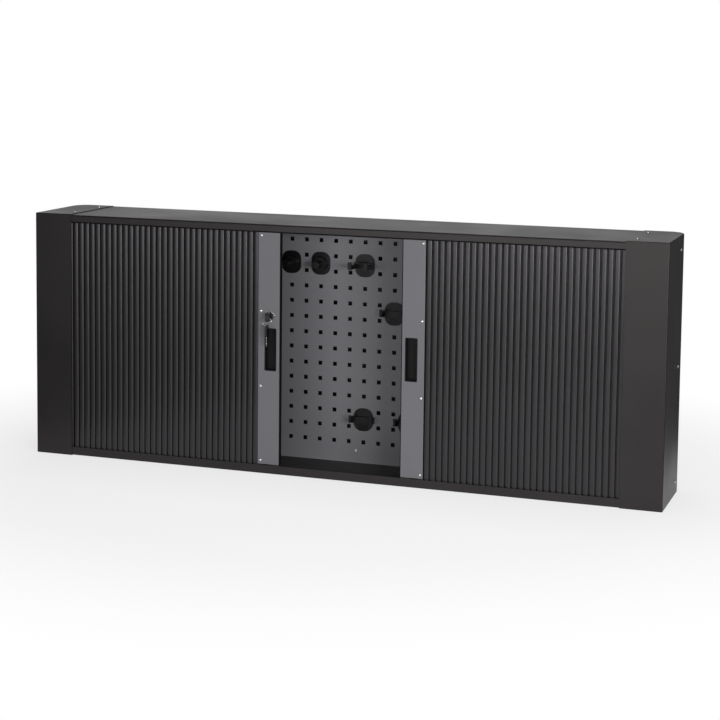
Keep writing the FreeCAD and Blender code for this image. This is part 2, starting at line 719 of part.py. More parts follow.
def lock_hook():
    """The hook at rest, turned back from the place where its claw holds the pin."""
    half_hole = TAIL_SIDE / 2 + TAIL_CLEAR
    arm_from = HOOK_ARM_FROM_DEG + HOOK_TURN_DEG
    arm_to = HOOK_ARM_TO_DEG + HOOK_TURN_DEG
    claw_from = HOOK_TURN_DEG - HOOK_CLAW_DROP_DEG
    hook = joined([rod_along_depth(lock_x, lock_z, HOOK_HUB_R, hook_front, hook_back),
                   lock_sector(0, claw_outer_r, arm_from, arm_to),
                   lock_sector(claw_inner_r, claw_outer_r, claw_from, arm_to)])
    return hook.cut(block(lock_x - half_hole, lock_x + half_hole, hook_front - CUT_OVERRUN,
                          hook_back + CUT_OVERRUN, lock_z - half_hole, lock_z + half_hole))


def key_in_lock():
    bow_back = lock_face - BOW_GAP
    bow = paddle(lock_x, bow_back - BOW_REACH / 2, lock_z, BOW_REACH, BOW_HEIGHT, BOW_CORNER_R, BOW_THICK)
    slot = paddle(lock_x, RING_DEPTH, lock_z, BOW_SLOT_WIDTH, BOW_SLOT_HEIGHT,
                  BOW_SLOT_WIDTH / 2 - SCREW_CLEAR, BOW_THICK + CUT_OVERRUN)
    save("key_bow", bow.cut(slot))
    save("key_blade", block(lock_x - BLADE_THICK / 2, lock_x + BLADE_THICK / 2, bow_back,
                            lock_face + BLADE_BITE, lock_z - BLADE_HEIGHT / 2, lock_z + BLADE_HEIGHT / 2))


def spare_key():
    ring = Part.makeTorus(RING_R, RING_WIRE_R, Vector(lock_x, FRONT + RING_DEPTH, ring_z), Vector(0, 1, 0))
    save("key_ring", ring)
    head = spare_hole_z + SPARE_HOLE_EDGE
    bow = paddle(lock_x, RING_DEPTH, head - SPARE_BOW_HEIGHT / 2, SPARE_BOW_WIDTH, SPARE_BOW_HEIGHT,
                 SPARE_HOLE_EDGE, BOW_THICK)
    hole = rod_along_x(lock_x - BOW_THICK, lock_x + BOW_THICK, RING_DEPTH, spare_hole_z, SPARE_HOLE_R)
    save("spare_key_bow", bow.cut(hole))
    bow_foot = head - SPARE_BOW_HEIGHT
    save("spare_key_blade", block(lock_x - BLADE_THICK / 2, lock_x + BLADE_THICK / 2,
                                  RING_DEPTH - BLADE_HEIGHT / 2, RING_DEPTH + BLADE_HEIGHT / 2,
                                  bow_foot - SPARE_BLADE, bow_foot))


def lock():
    save("lock_barrel", lock_barrel())
    save("lock_nut", lock_nut())
    save("lock_plug", lock_plug())
    save("lock_hook", lock_hook())
    save("hook_screw", joined([
        rod_along_depth(lock_x, lock_z, HOOK_SCREW_HEAD_R, hook_back, hook_back + HOOK_SCREW_HEAD),
        rod_along_depth(lock_x, lock_z, HOOK_SCREW_R, hook_back - HOOK_SCREW_BITE, hook_back)]))
    key_in_lock()
    spare_key()
    steel_edge = RIGHT_REST + SEAL_THICK
    plate_front = rail_face + RAIL_FLANGE
    plate_back = plate_front + STRIKE_THICK
    save("strike_plate", block(steel_edge, steel_edge + STRIKE_WIDTH, plate_front, plate_back,
                               lock_z - STRIKE_HEIGHT / 2, lock_z + STRIKE_HEIGHT / 2))
    save("strike_pin", rod_along_depth(RIGHT_REST + PIN_INSET, lock_z, PIN_R, plate_back,
                                       hook_back + PIN_END))


def holder_base(column, row):
    """Plate against the panel, with a lug in each of two holes; returns its pieces, middle and front."""
    x = hole_x(column)
    z = (hole_z(row) + hole_z(row - 1)) / 2
    front = panel_depth - HOLDER_PLATE
    half_lug = HOLE_SIDE / 2 - LUG_CLEAR
    height = HOLE_PITCH + HOLE_SIDE + HOLDER_MARGIN
    pieces = [plaque(x, z, HOLDER_WIDTH, height, HOLDER_CORNER_R, front, panel_depth)]
    for lug_row in (row, row - 1):
        lug_z = hole_z(lug_row)
        pieces.append(block(x - half_lug, x + half_lug, panel_depth, panel_back + LUG_BEHIND,
                            lug_z - half_lug, lug_z + half_lug))
    return pieces, x, z, front


def peg_holder(column, row):
    """A round peg with a cap, which a ring spanner hangs on."""
    pieces, x, z, front = holder_base(column, row)
    drum_front = front - DRUM_LENGTH
    peg_front = drum_front - PEG_LENGTH
    pieces.append(rod_along_depth(x, z, DRUM_R, drum_front, front))
    pieces.append(rod_along_depth(x, z, PEG_R, peg_front, drum_front))
    pieces.append(rod_along_depth(x, z, PEG_CAP_R, peg_front - PEG_CAP, peg_front))
    return joined(pieces)


def fork_holder(column, row, prong, gap, reach):
    """A bridge with two upturned prongs, which a head or a pair of jaws rests on."""
    pieces, x, z, front = holder_base(column, row)
    half_bridge = gap / 2 + prong
    bridge_front = front - prong
    pieces.append(block(x - half_bridge, x + half_bridge, bridge_front, front,
                        z - BRIDGE_HEIGHT / 2, z + BRIDGE_HEIGHT / 2))
    tip = front - reach
    prong_foot = z - PRONG_HEIGHT / 2
    prong_head = z + PRONG_HEIGHT / 2
    for left in (x - half_bridge, x + gap / 2):
        right = left + prong
        pieces.append(block(left, right, tip, bridge_front, prong_foot, prong_head))
        pieces.append(block(left, right, tip, tip + PRONG_TIP, prong_head, prong_head + PRONG_TIP_RISE))
    half_rib = HOLDER_RIB_WIDTH / 2
    for number in range(HOLDER_RIB_COUNT):
        rib_head = z - BRIDGE_HEIGHT / 2 - (number + 1) * HOLDER_RIB_PITCH
        pieces.append(block(x - half_rib, x + half_rib, front - HOLDER_RIB, front,
                            rib_head - HOLDER_RIB, rib_head))
    return joined(pieces)


def tool_holders():
    save("left_spanner_holder", peg_holder(-5, 5))
    save("right_spanner_holder", peg_holder(-3, 5))
    save("hammer_holder", fork_holder(0, 5, HAMMER_PRONG, HAMMER_GAP, HAMMER_REACH))
    save("pump_pliers_holder", fork_holder(2, 2, PUMP_PRONG, PUMP_GAP, PUMP_REACH))
    save("pliers_holder", fork_holder(0, -5, PLIERS_PRONG, PLIERS_GAP, PLIERS_REACH))
    save("side_pliers_holder", fork_holder(3, -5, PLIERS_PRONG, PLIERS_GAP, PLIERS_REACH))


os.makedirs("parts", exist_ok=True)
carcass_sheets()
tool_panel()
carcass_screws()
nut_strips()
tracks()
shutters()
lock()
tool_holders()
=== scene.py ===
"""Looks of the workbench top cabinet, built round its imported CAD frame.

Metres, in the frame's own axes: X runs to the right, Z up and the front faces -Y.
"""
import json
from math import asin, cos, pi, radians, sin

import bmesh
import bpy
from mathutils import Matrix, Vector


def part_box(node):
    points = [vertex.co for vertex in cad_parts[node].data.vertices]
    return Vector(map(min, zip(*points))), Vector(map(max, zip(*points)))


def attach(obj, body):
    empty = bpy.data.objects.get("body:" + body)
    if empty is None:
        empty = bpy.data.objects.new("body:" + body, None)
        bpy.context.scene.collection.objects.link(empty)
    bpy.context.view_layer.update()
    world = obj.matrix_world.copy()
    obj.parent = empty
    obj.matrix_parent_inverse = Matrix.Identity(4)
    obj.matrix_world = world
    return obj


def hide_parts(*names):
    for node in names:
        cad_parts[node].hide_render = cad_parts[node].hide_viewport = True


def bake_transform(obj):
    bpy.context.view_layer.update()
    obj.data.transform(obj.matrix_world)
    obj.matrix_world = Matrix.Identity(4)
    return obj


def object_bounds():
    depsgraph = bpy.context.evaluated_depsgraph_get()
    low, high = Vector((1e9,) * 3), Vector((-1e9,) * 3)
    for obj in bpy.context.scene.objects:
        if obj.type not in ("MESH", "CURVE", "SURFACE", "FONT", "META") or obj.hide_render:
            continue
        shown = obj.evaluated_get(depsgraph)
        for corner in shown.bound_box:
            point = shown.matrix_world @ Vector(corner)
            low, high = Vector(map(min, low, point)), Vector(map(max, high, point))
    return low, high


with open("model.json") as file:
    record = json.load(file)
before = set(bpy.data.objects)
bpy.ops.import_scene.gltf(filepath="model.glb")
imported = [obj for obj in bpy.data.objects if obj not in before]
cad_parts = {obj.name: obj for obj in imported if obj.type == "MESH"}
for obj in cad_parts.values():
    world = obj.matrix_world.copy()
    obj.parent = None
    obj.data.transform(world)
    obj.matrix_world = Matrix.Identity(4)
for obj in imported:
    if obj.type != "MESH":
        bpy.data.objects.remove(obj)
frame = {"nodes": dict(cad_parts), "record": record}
cad_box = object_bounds()

MM = 0.001

# Slats of the shutters
SLAT_PITCH = 15.0 * MM
SLAT_GAP = 0.6 * MM
SLAT_HALF = 6.6 * MM
SLAT_CROWN = 3.0 * MM
SLAT_FLATNESS = 2.3
SLAT_THICK = 8.0 * MM
SLAT_LIP = 3.9 * MM
SLAT_RECESS = 2.8 * MM
TONGUE_FRONT = 5.4 * MM
TONGUE_REAR = 6.8 * MM
TONGUE_REACH = 3.2 * MM
TONGUE_ROOT = 1.0 * MM
CROWN_STEPS = 24
CROWN_LIMIT_DEG = 35.0

# Rounding of edges that the CAD nodes leave sharp
WELD = 0.001 * MM
FLAT_LIMIT_DEG = 1.0
EDGE_LIMIT_DEG = 35.0
ROUND_STEPS = 3
NORMAL_WEIGHT = 100
SHEET_EDGE_R = 0.6 * MM
RAIL_EDGE_R = 0.7 * MM
SEAL_EDGE_R = 0.6 * MM
CUP_EDGE_R = 0.6 * MM
HOLDER_EDGE_R = 1.0 * MM
LOCK_EDGE_R = 0.6 * MM
BOW_EDGE_R = 1.2 * MM
KEY_EDGE_R = 0.25 * MM

# Painted shade above and below the top tray's lip: a dark strip under its brow, and a dark strip behind the
# lip that hangs out below it, in front of the slats
BROW_SHADE_HEIGHT = 2.0 * MM
BROW_SHADE_PROUD = 0.25 * MM
BROW_SHADE_SUNK = 0.3 * MM
BROW_SHADE_CHAMFER = 0.2 * MM
LIP_SHADE_SHOWN = 1.9 * MM
LIP_SHADE_HIDDEN = 2.0 * MM
LIP_SHADE_THICK = 1.2 * MM
LIP_SHADE_CHAMFER = 0.3 * MM
STRIP_END_GAP = 0.3 * MM
TRAY_SHEET = 1.5 * MM

# Screws and rivets
TURNED_STEPS = 24
SCREW_HEAD = 1.8 * MM
SCREW_SHANK_R = 2.0 * MM
SOCKET_SIDES = 6
SOCKET_SHARE = 0.52
SOCKET_FLOOR_SHARE = 0.35
RIVET_HEAD = 1.2 * MM
RIVET_SHANK_R = 1.6 * MM
DOME_STEPS = 6

# Keys on their ring
RING_WIRE_R = 0.4 * MM
RING_TURNS = 2
RING_STEPS = 48
KEY_TEETH = 5
TOOTH_SHARE = 0.22
KEY_TIP_SHARE = 0.14

# Camera: where it stands in front of the end boxes, and how it looks at the cabinet
CAMERA_X = 1.4241
CAMERA_DISTANCE = 3.9965
CAMERA_Z = 1.0630
CAMERA_YAW_DEG = -19.684
CAMERA_PITCH_DEG = -5.839
CAMERA_ROLL_DEG = 0.552
CAMERA_LENS = 91.459
CAMERA_SENSOR = 36.0
CAMERA_SHIFT_X = 0.04
CAMERA_SHIFT_Y = -0.20

# Tints
NEUTRAL = (1.0, 1.0, 1.0)
WARM = (1.0, 0.92, 0.93)
COOL = (1.02, 1.0, 1.09)
FAINT_COOL = (1.0, 0.96, 1.01)

# Finishes: the part of a noise's range that is used, and how far the roughness strays from its value
NOISE_LOW = 0.3
NOISE_HIGH = 0.7
PAINT_STRAY = 0.04
MOULDED_STRAY = 0.06
EXTRUDED_STRAY = 0.05
METAL_STRAY_SHARE = 0.3

# Studio: the floor is a wedge ahead of the camera, and turns white away from the cabinet
FLOOR_LEFT_DEG = -11.2
FLOOR_RIGHT_DEG = 12.8
FLOOR_NEAR = 2.64
FLOOR_FAR = 13.8
FLOOR_GAP = 0.2 * MM
FLOOR_FADE_START = 0.7
FLOOR_FADE_END = 1.5
FLOOR_LIFT = 0.7
FLOOR_TONE = 0.92
BACKDROP_DISTANCE = 9.0
BACKDROP_WIDTH = 6.6
BACKDROP_HEIGHT = 4.0
PAPER_TONE = 0.9
STAGE_ROUGHNESS = 0.9
WORLD_LIGHT = 0.14

# Lamps: name, place, width, height and power in watts
LAMP_AIM = (0.0, 0.0, 0.3)
LAMPS = (
    ("key_light", (0.2, -3.3, 0.65), 4.0, 0.5, 66.0),
    ("side_light", (2.4, -2.7, 0.8), 1.4, 0.7, 100.0),
    ("top_light", (0.0, 0.3, 2.8), 2.6, 1.2, 20.0),
    ("back_light", (-1.0, 3.0, 0.3), 2.0, 0.5, 45.0),
)


def material(name, metallic=0.0, specular=0.5, roughness=0.5, sheen=NEUTRAL):
    """A new material, with its node tree and its main shader; sheen tints its reflections."""
    made = bpy.data.materials.new(name)
    made.use_nodes = True
    tree = made.node_tree
    shader = tree.nodes["Principled BSDF"]
    shader.inputs["Metallic"].default_value = metallic
    shader.inputs["Specular IOR Level"].default_value = specular
    shader.inputs["Roughness"].default_value = roughness
    shader.inputs["Specular Tint"].default_value = (*sheen, 1.0)
    return made, tree, shader


def noise(tree, scale, detail=2.0, stretch=(1.0, 1.0, 1.0)):
    """Noise over the object's own metres; returns the node's factor output."""
    place = tree.nodes.new("ShaderNodeTexCoord")
    mapping = tree.nodes.new("ShaderNodeMapping")
    mapping.inputs["Scale"].default_value = stretch
    made = tree.nodes.new("ShaderNodeTexNoise")
    made.inputs["Scale"].default_value = scale
    made.inputs["Detail"].default_value = detail
    tree.links.new(place.outputs["Object"], mapping.inputs["Vector"])
    tree.links.new(mapping.outputs["Vector"], made.inputs["Vector"])
    return made.outputs["Fac"]


def ramp(tree, factor, low, high):
    """Turns a factor into a colour between low and high."""
    made = tree.nodes.new("ShaderNodeValToRGB")
    made.color_ramp.elements[0].position = NOISE_LOW
    made.color_ramp.elements[0].color = (*low, 1.0)
    made.color_ramp.elements[1].position = NOISE_HIGH
    made.color_ramp.elements[1].color = (*high, 1.0)
    tree.links.new(factor, made.inputs["Fac"])
    return made.outputs["Color"]


def spread(tree, factor, low, high):
    """Turns a factor into a number between low and high."""
    made = tree.nodes.new("ShaderNodeMapRange")
    made.inputs["From Min"].default_value = NOISE_LOW
    made.inputs["From Max"].default_value = NOISE_HIGH
    made.inputs["To Min"].default_value = low
    made.inputs["To Max"].default_value = high
    tree.links.new(factor, made.inputs["Value"])
    return made.outputs["Result"]


def bump(tree, shader, height, strength, distance):
    made = tree.nodes.new("ShaderNodeBump")
    made.inputs["Strength"].default_value = strength
    made.inputs["Distance"].default_value = distance
    tree.links.new(height, made.inputs["Height"])
    tree.links.new(made.outputs["Normal"], shader.inputs["Normal"])


def powder_coat(name, low, high, specular, roughness, sheen=NEUTRAL):
    """Sprayed and baked paint: a fine orange peel and slow changes of tone."""
    made, tree, shader = material(name, specular=specular, sheen=sheen)
    tone = noise(tree, scale=5.0, detail=4.0)
    tree.links.new(ramp(tree, tone, low, high), shader.inputs["Base Color"])
    gloss = spread(tree, tone, roughness - PAINT_STRAY, roughness + PAINT_STRAY)
    tree.links.new(gloss, shader.inputs["Roughness"])
    peel = noise(tree, scale=700.0)
    bump(tree, shader, peel, strength=0.12, distance=0.3 * MM)
    return made


def moulded(name, low, high, specular, roughness):
    """Moulded plastic with a fine spark-eroded grain."""
    made, tree, shader = material(name, specular=specular)
    tone = noise(tree, scale=14.0, detail=3.0)
    tree.links.new(ramp(tree, tone, low, high), shader.inputs["Base Color"])
    grain = noise(tree, scale=900.0, detail=3.0)
    gloss = spread(tree, grain, roughness - MOULDED_STRAY, roughness + MOULDED_STRAY)
    tree.links.new(gloss, shader.inputs["Roughness"])
    bump(tree, shader, grain, strength=0.15, distance=0.15 * MM)
    return made


def extruded(name, low, high, specular, roughness, sheen=NEUTRAL):
    """Extruded plastic: faint lines along the slat, and slow changes of tone."""
    made, tree, shader = material(name, specular=specular, sheen=sheen)
    tone = noise(tree, scale=9.0, detail=3.0, stretch=(1.0, 1.0, 0.25))
    tree.links.new(ramp(tree, tone, low, high), shader.inputs["Base Color"])
    lines = noise(tree, scale=1600.0, stretch=(1.0, 1.0, 0.01))
    gloss = spread(tree, lines, roughness - EXTRUDED_STRAY, roughness + EXTRUDED_STRAY)
    tree.links.new(gloss, shader.inputs["Roughness"])
    bump(tree, shader, lines, strength=0.05, distance=0.1 * MM)
    return made


def metal(name, low, high, roughness):
    """Bare or plated metal with a little unevenness in its gloss."""
    made, tree, shader = material(name, metallic=1.0)
    tone = noise(tree, scale=220.0, detail=4.0)
    tree.links.new(ramp(tree, tone, low, high), shader.inputs["Base Color"])
    stray = roughness * METAL_STRAY_SHARE
    tree.links.new(spread(tree, tone, roughness - stray, roughness + stray), shader.inputs["Roughness"])
    return made


def tinted(value, tint):
    return tuple(value * share for share in tint)


# Per slot: finish, darkest and lightest colour, specular level but for metals, roughness, and the
# tint of the reflections if they have one
FINISHES = {
    "black_paint": (powder_coat, tinted(0.0085, WARM), tinted(0.0105, WARM), 0.27, 0.40, WARM),
    "grey_paint": (powder_coat, tinted(0.093, COOL), tinted(0.100, COOL), 0.3, 0.5),
    "track_plastic": (moulded, tinted(0.010, NEUTRAL), tinted(0.014, NEUTRAL), 0.4, 0.5),
    "slat_plastic": (extruded, tinted(0.008, FAINT_COOL), tinted(0.010, FAINT_COOL), 0.38, 0.30, FAINT_COOL),
    "bar_metal": (metal, tinted(0.05, NEUTRAL), tinted(0.07, NEUTRAL), 0.4),
    "zinc_steel": (metal, (0.36, 0.36, 0.35), (0.46, 0.46, 0.44), 0.35),
    "rivet_metal": (metal, tinted(0.52, NEUTRAL), tinted(0.60, NEUTRAL), 0.34),
    "seal_rubber": (moulded, tinted(0.003, NEUTRAL), tinted(0.005, NEUTRAL), 0.06, 0.85),
    "cup_plastic": (moulded, tinted(0.002, NEUTRAL), tinted(0.003, NEUTRAL), 0.12, 0.55),
    "lock_chrome": (metal, tinted(0.40, NEUTRAL), tinted(0.52, NEUTRAL), 0.16),
    "lock_black": (metal, tinted(0.03, NEUTRAL), tinted(0.05, NEUTRAL), 0.35),
    "key_plastic": (moulded, tinted(0.004, NEUTRAL), tinted(0.006, NEUTRAL), 0.4, 0.32),
    "holder_plastic": (moulded, tinted(0.003, NEUTRAL), tinted(0.004, NEUTRAL), 0.16, 0.32),
}
materials = {name: finish(name, *values) for name, (finish, *values) in FINISHES.items()}

slot_of = {part["node"]: part["material_slot"] for part in frame["record"]["subparts"]}
body_of = {node: body for body, nodes in frame["record"]["behaviour"]["bodies"].items() for node in nodes}


def finish_nodes():
    """Gives every CAD node the material of its slot."""
    for name, slot in slot_of.items():
        node = frame["nodes"][name]
        node.data.materials.clear()
        node.data.materials.append(materials[slot])


def piece(name, mesh, slot):
    """A new object of the cabinet, finished from one of the record's slots."""
    made = bpy.data.objects.new(name, mesh)
    bpy.context.scene.collection.objects.link(made)
    made.data.materials.clear()
    made.data.materials.append(materials[slot])
    return made


def stand_in(node, mesh, title):
    """A piece that takes the place of a CAD node, on the same body and with the same finish."""
    made = piece(title, mesh, slot_of[node])
    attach(made, body_of[node])
    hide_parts(node)
    return made


def bevelled(mesh, name, radius):
    """A new mesh: the given one with its sharp edges rounded."""
    holder = bpy.data.objects.new(name, mesh)
    bpy.context.scene.collection.objects.link(holder)
    bevel = holder.modifiers.new("edges", "BEVEL")
    bevel.limit_method = "ANGLE"
    bevel.angle_limit = radians(EDGE_LIMIT_DEG)
    bevel.segments = ROUND_STEPS
    bevel.harden_normals = True
    bevel.width = radius
    holder.modifiers.new("normals", "WEIGHTED_NORMAL").weight = NORMAL_WEIGHT
    graph = bpy.context.evaluated_depsgraph_get()
    made = bpy.data.meshes.new_from_object(holder.evaluated_get(graph))
    bpy.data.objects.remove(holder)
    return made


def welded(node):
    """A CAD node's shape, with its triangles joined into flat faces."""
    shape = bmesh.new()
    shape.from_mesh(frame["nodes"][node].data)
    bmesh.ops.remove_doubles(shape, verts=shape.verts, dist=WELD)
    bmesh.ops.dissolve_limit(shape, angle_limit=radians(FLAT_LIMIT_DEG), verts=shape.verts,
                             edges=shape.edges)
    return shape


def rounded(node, radius):
    """A copy of a CAD node with its sharp edges rounded, in the node's place."""
    shape = welded(node)
    mesh = bpy.data.meshes.new(node)
    shape.to_mesh(mesh)
    shape.free()
    mesh.shade_smooth()
    stand_in(node, bevelled(mesh, node, radius), "rounded_" + node)


def loose_parts(node):
    """The lowest and highest corners of each separate solid in a CAD node."""
    shape = welded(node)
    left = set(shape.verts)
    boxes = []
    while left:
        group = [left.pop()]
        for vert in group:
            for edge in vert.link_edges:
                other = edge.other_vert(vert)
                if other in left:
                    left.remove(other)
                    group.append(other)
        boxes.append([Vector(pick(vert.co[axis] for vert in group) for axis in range(3))
                      for pick in (min, max)])
    shape.free()
    return boxes


def screw_profile(radius, length):
    """Radius and height above the seat, from the floor of the socket out and down to the tip."""
    socket = radius * SOCKET_SHARE
    floor_height = SCREW_HEAD * SOCKET_FLOOR_SHARE
    shoulder = radius - SCREW_HEAD / 2
    profile = [(0.0, floor_height), (socket, floor_height), (socket, SCREW_HEAD)]
    for step in range(DOME_STEPS + 1):
        angle = pi / 2 * step / DOME_STEPS
        profile.append((shoulder + SCREW_HEAD / 2 * sin(angle), SCREW_HEAD / 2 * (1 + cos(angle))))
    return profile + [(radius, 0.0), (SCREW_SHANK_R, 0.0), (SCREW_SHANK_R, SCREW_HEAD - length),
                      (0.0, SCREW_HEAD - length)]


def rivet_profile(radius, length):
    """Radius and height above the seat, from the top of the dome down to the tip."""
    profile = []
    for step in range(DOME_STEPS + 1):
        angle = pi / 2 * step / DOME_STEPS
        profile.append((radius * sin(angle), RIVET_HEAD * cos(angle)))
    return profile + [(RIVET_SHANK_R, 0.0), (RIVET_SHANK_R, RIVET_HEAD - length),
                      (0.0, RIVET_HEAD - length)]


def turn_round(shape, profile, seat, outward, socket_radius):
    """Adds a turned shape to a mesh; the ring at socket_radius is drawn as a hexagon."""
    spin = outward.to_track_quat("Z", "X")
    rings = []
    for radius, height in profile:
        ring = []
        for step in range(TURNED_STEPS if radius else 1):
            angle = 2 * pi * step / TURNED_STEPS
            reach = radius
            if radius == socket_radius:
                side = pi / SOCKET_SIDES
                reach = radius * cos(side) / cos(angle % (2 * side) - side)
            point = Vector((reach * cos(angle), reach * sin(angle), height))
            ring.append(shape.verts.new(seat + spin @ point))
        rings.append(ring)
    for first, second in zip(rings, rings[1:]):
        for step in range(TURNED_STEPS):
            after = (step + 1) % TURNED_STEPS
            corners = [first[step % len(first)], first[after % len(first)],
                       second[after % len(second)], second[step % len(second)]]
            shape.faces.new(list(dict.fromkeys(corners)))


def fasteners(node, profile_of, head, outward_of):
    """All screws or rivets of a CAD node, each turned from a profile, in one piece."""
    shape = bmesh.new()
    for low, high in loose_parts(node):
        outward = outward_of((low + high) / 2)
        axis = max(range(3), key=lambda number: abs(outward[number]))
        across = (axis + 1) % 3
        radius = (high[across] - low[across]) / 2
        seat = (low + high) / 2
        seat[axis] = (high[axis] - head) if outward[axis] > 0 else (low[axis] + head)
        profile = profile_of(radius, high[axis] - low[axis])
        turn_round(shape, profile, seat, outward, radius * SOCKET_SHARE)
    bmesh.ops.recalc_face_normals(shape, faces=shape.faces)
    mesh = bpy.data.meshes.new(node)
    shape.to_mesh(mesh)
    shape.free()
    mesh.shade_smooth()
    mesh.set_sharp_from_angle(angle=radians(EDGE_LIMIT_DEG))
    stand_in(node, mesh, "turned_" + node)


def towards_front(middle):
    return Vector((0.0, -1.0, 0.0))


def upwards(middle):
    return Vector((0.0, 0.0, 1.0))


def sideways(middle):
    return Vector((1.0 if middle.x > 0 else -1.0, 0.0, 0.0))


def all_fasteners():
    fasteners("end_box_screws", screw_profile, SCREW_HEAD, upwards)
    fasteners("side_screws", screw_profile, SCREW_HEAD, sideways)
    fasteners("panel_screws", screw_profile, SCREW_HEAD, towards_front)
    for side in ("left", "right"):
        fasteners(side + "_rail_rivets", rivet_profile, RIVET_HEAD, towards_front)


def split_ring():
    """The key ring as wound wire: two turns that lie side by side."""
    low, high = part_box("key_ring")
    middle = (low + high) / 2
    radius = (high.x - low.x) / 2 - RING_WIRE_R
    lead = high.y - low.y - 2 * RING_WIRE_R
    curve = bpy.data.curves.new("split_ring", "CURVE")
    curve.dimensions = "3D"
    curve.bevel_depth = RING_WIRE_R
    curve.use_fill_caps = True
    spline = curve.splines.new("POLY")
    count = RING_TURNS * RING_STEPS
    spline.points.add(count)
    for step in range(count + 1):
        share = step / count
        angle = 2 * pi * RING_TURNS * share
        spline.points[step].co = (middle.x + radius * sin(angle), middle.y + lead * (share - 0.5),
                                  middle.z - radius * cos(angle), 1.0)
    holder = bpy.data.objects.new("split_ring", curve)
    mesh = bpy.data.meshes.new_from_object(holder)
    bpy.data.objects.remove(holder)
    mesh.shade_smooth()
    stand_in("key_ring", mesh, "split_ring")


def prism(name, first, second):
    """A mesh between two like outlines, closed at both ends."""
    shape = bmesh.new()
    rings = [[shape.verts.new(point) for point in outline] for outline in (first, second)]
    for number in range(len(first)):
        after = (number + 1) % len(first)
        shape.faces.new((rings[0][number], rings[0][after], rings[1][after], rings[1][number]))
    for ring in rings:
        shape.faces.new(ring)
    bmesh.ops.recalc_face_normals(shape, faces=shape.faces)
    mesh = bpy.data.meshes.new(name)
    shape.to_mesh(mesh)
    shape.free()
    return mesh


def cut_key():
    """The hanging key's blade, with a pointed tip and teeth along its front edge."""
    low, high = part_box("spare_key_blade")
    tip = (high.z - low.z) * KEY_TIP_SHARE
    deep = (high.y - low.y) * TOOTH_SHARE
    pitch = (high.z - low.z - tip) / (KEY_TEETH + 1)
    outline = [(high.y, high.z), (low.y, high.z)]
    for number in range(KEY_TEETH):
        top = high.z - (number + 0.5) * pitch
        outline += [(low.y, top), (low.y + deep * (1 + number % 2) / 2, top - pitch / 2)]
    outline += [(low.y, low.z + tip), ((low.y + high.y) / 2, low.z), (high.y, low.z + tip)]
    mesh = prism("cut_key", *[[(x, y, z) for y, z in outline] for x in (low.x, high.x)])
    stand_in("spare_key_blade", bevelled(mesh, "cut_key", KEY_EDGE_R), "cut_key")


def long_strip(name, outline, slot):
    """A strip between the end boxes, of one section given in y and z, that stays with the carcass."""
    left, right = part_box("left_end_box")[1].x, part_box("right_end_box")[0].x
    ends = (left + STRIP_END_GAP, right - STRIP_END_GAP)
    strip = piece(name, prism(name, *[[(x, y, z) for y, z in outline] for x in ends]), slot)
    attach(strip, "carcass")


def painted_shade_lines():
    """Painted shade: a dark strip under the top tray's brow, and a dark strip that hangs out below its lip,
    where shade falls in front of the slats.
    """
    low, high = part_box("top_tray")
    lip, top = low.y + TRAY_SHEET, high.z - TRAY_SHEET
    foot, proud, sunk = top - BROW_SHADE_HEIGHT, lip - BROW_SHADE_PROUD, lip + BROW_SHADE_SUNK
    # painted shade: a dark rubber strip under the top tray's brow, in place of the shade there
    long_strip("brow_painted_shade", [(sunk, top), (lip, top), (proud, top - BROW_SHADE_CHAMFER),
                              (proud, foot + BROW_SHADE_CHAMFER), (lip, foot), (sunk, foot)], "seal_rubber")
    # painted shade: a dark rubber strip behind the lip that shows below it, in place of the shade above the
    # slats
    front, rear = lip + TRAY_SHEET, lip + TRAY_SHEET + LIP_SHADE_THICK
    top, foot = low.z + LIP_SHADE_HIDDEN, low.z - LIP_SHADE_SHOWN
    shoulder = foot + LIP_SHADE_CHAMFER
    long_strip("lip_painted_shade", [(front, top), (front, shoulder), (front + LIP_SHADE_CHAMFER, foot),
                            (rear - LIP_SHADE_CHAMFER, foot), (rear, shoulder), (rear, top)], "seal_rubber")


def rounded_nodes():
    """Stand-ins for the nodes whose sharp edges would show."""
    for name in ("left_end_box", "right_end_box", "top_tray", "bottom_tray"):
        rounded(name, SHEET_EDGE_R)
    for side in ("left", "right"):
        rounded(side + "_lead_rail", RAIL_EDGE_R)
        rounded(side + "_edge_seal", SEAL_EDGE_R)
        rounded(side + "_pull_cup", CUP_EDGE_R)
        rounded(side + "_spanner_holder", HOLDER_EDGE_R)
    for name in ("hammer_holder", "pump_pliers_holder", "pliers_holder", "side_pliers_holder"):
        rounded(name, HOLDER_EDGE_R)
    rounded("lock_barrel", LOCK_EDGE_R)
    for name in ("key_bow", "spare_key_bow"):
        rounded(name, BOW_EDGE_R)


def slat_outline():
    """A slat seen from above: across it, away from the rail, and back from its front.

    Its front is flat in the middle and rounds off towards the edges, as a superellipse does.
    """
    outline = []
    for step in range(CROWN_STEPS + 1):
        across = sin(pi * (step / CROWN_STEPS - 0.5))
        rise = max(0.0, 1 - abs(across) ** SLAT_FLATNESS) ** (1 / SLAT_FLATNESS)
        outline.append((SLAT_HALF * across, SLAT_CROWN * (1 - rise)))
    tip = SLAT_HALF + TONGUE_REACH
    inner = -SLAT_HALF + SLAT_RECESS
    outline += [(SLAT_HALF, TONGUE_FRONT), (tip, TONGUE_FRONT), (tip, TONGUE_REAR),
                (SLAT_HALF - TONGUE_ROOT, TONGUE_REAR), (SLAT_HALF - TONGUE_ROOT, SLAT_THICK),
                (inner, SLAT_THICK), (inner, SLAT_LIP), (-SLAT_HALF, SLAT_LIP)]
    return outline


def slat_mesh(name, side, middle, front, foot, head):
    """One slat that stands at |x| = middle on the given side of the cabinet."""
    mesh = prism(name, *[[(side * (middle + across), front + back, z) for across, back in slat_outline()]
                         for z in (foot, head)])
    mesh.shade_smooth()
    mesh.set_sharp_from_angle(angle=radians(CROWN_LIMIT_DEG))
    return mesh


def follow_share(made):
    """Bakes the slat's place into its mesh; the slat is tied to no body.
    """
    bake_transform(made)


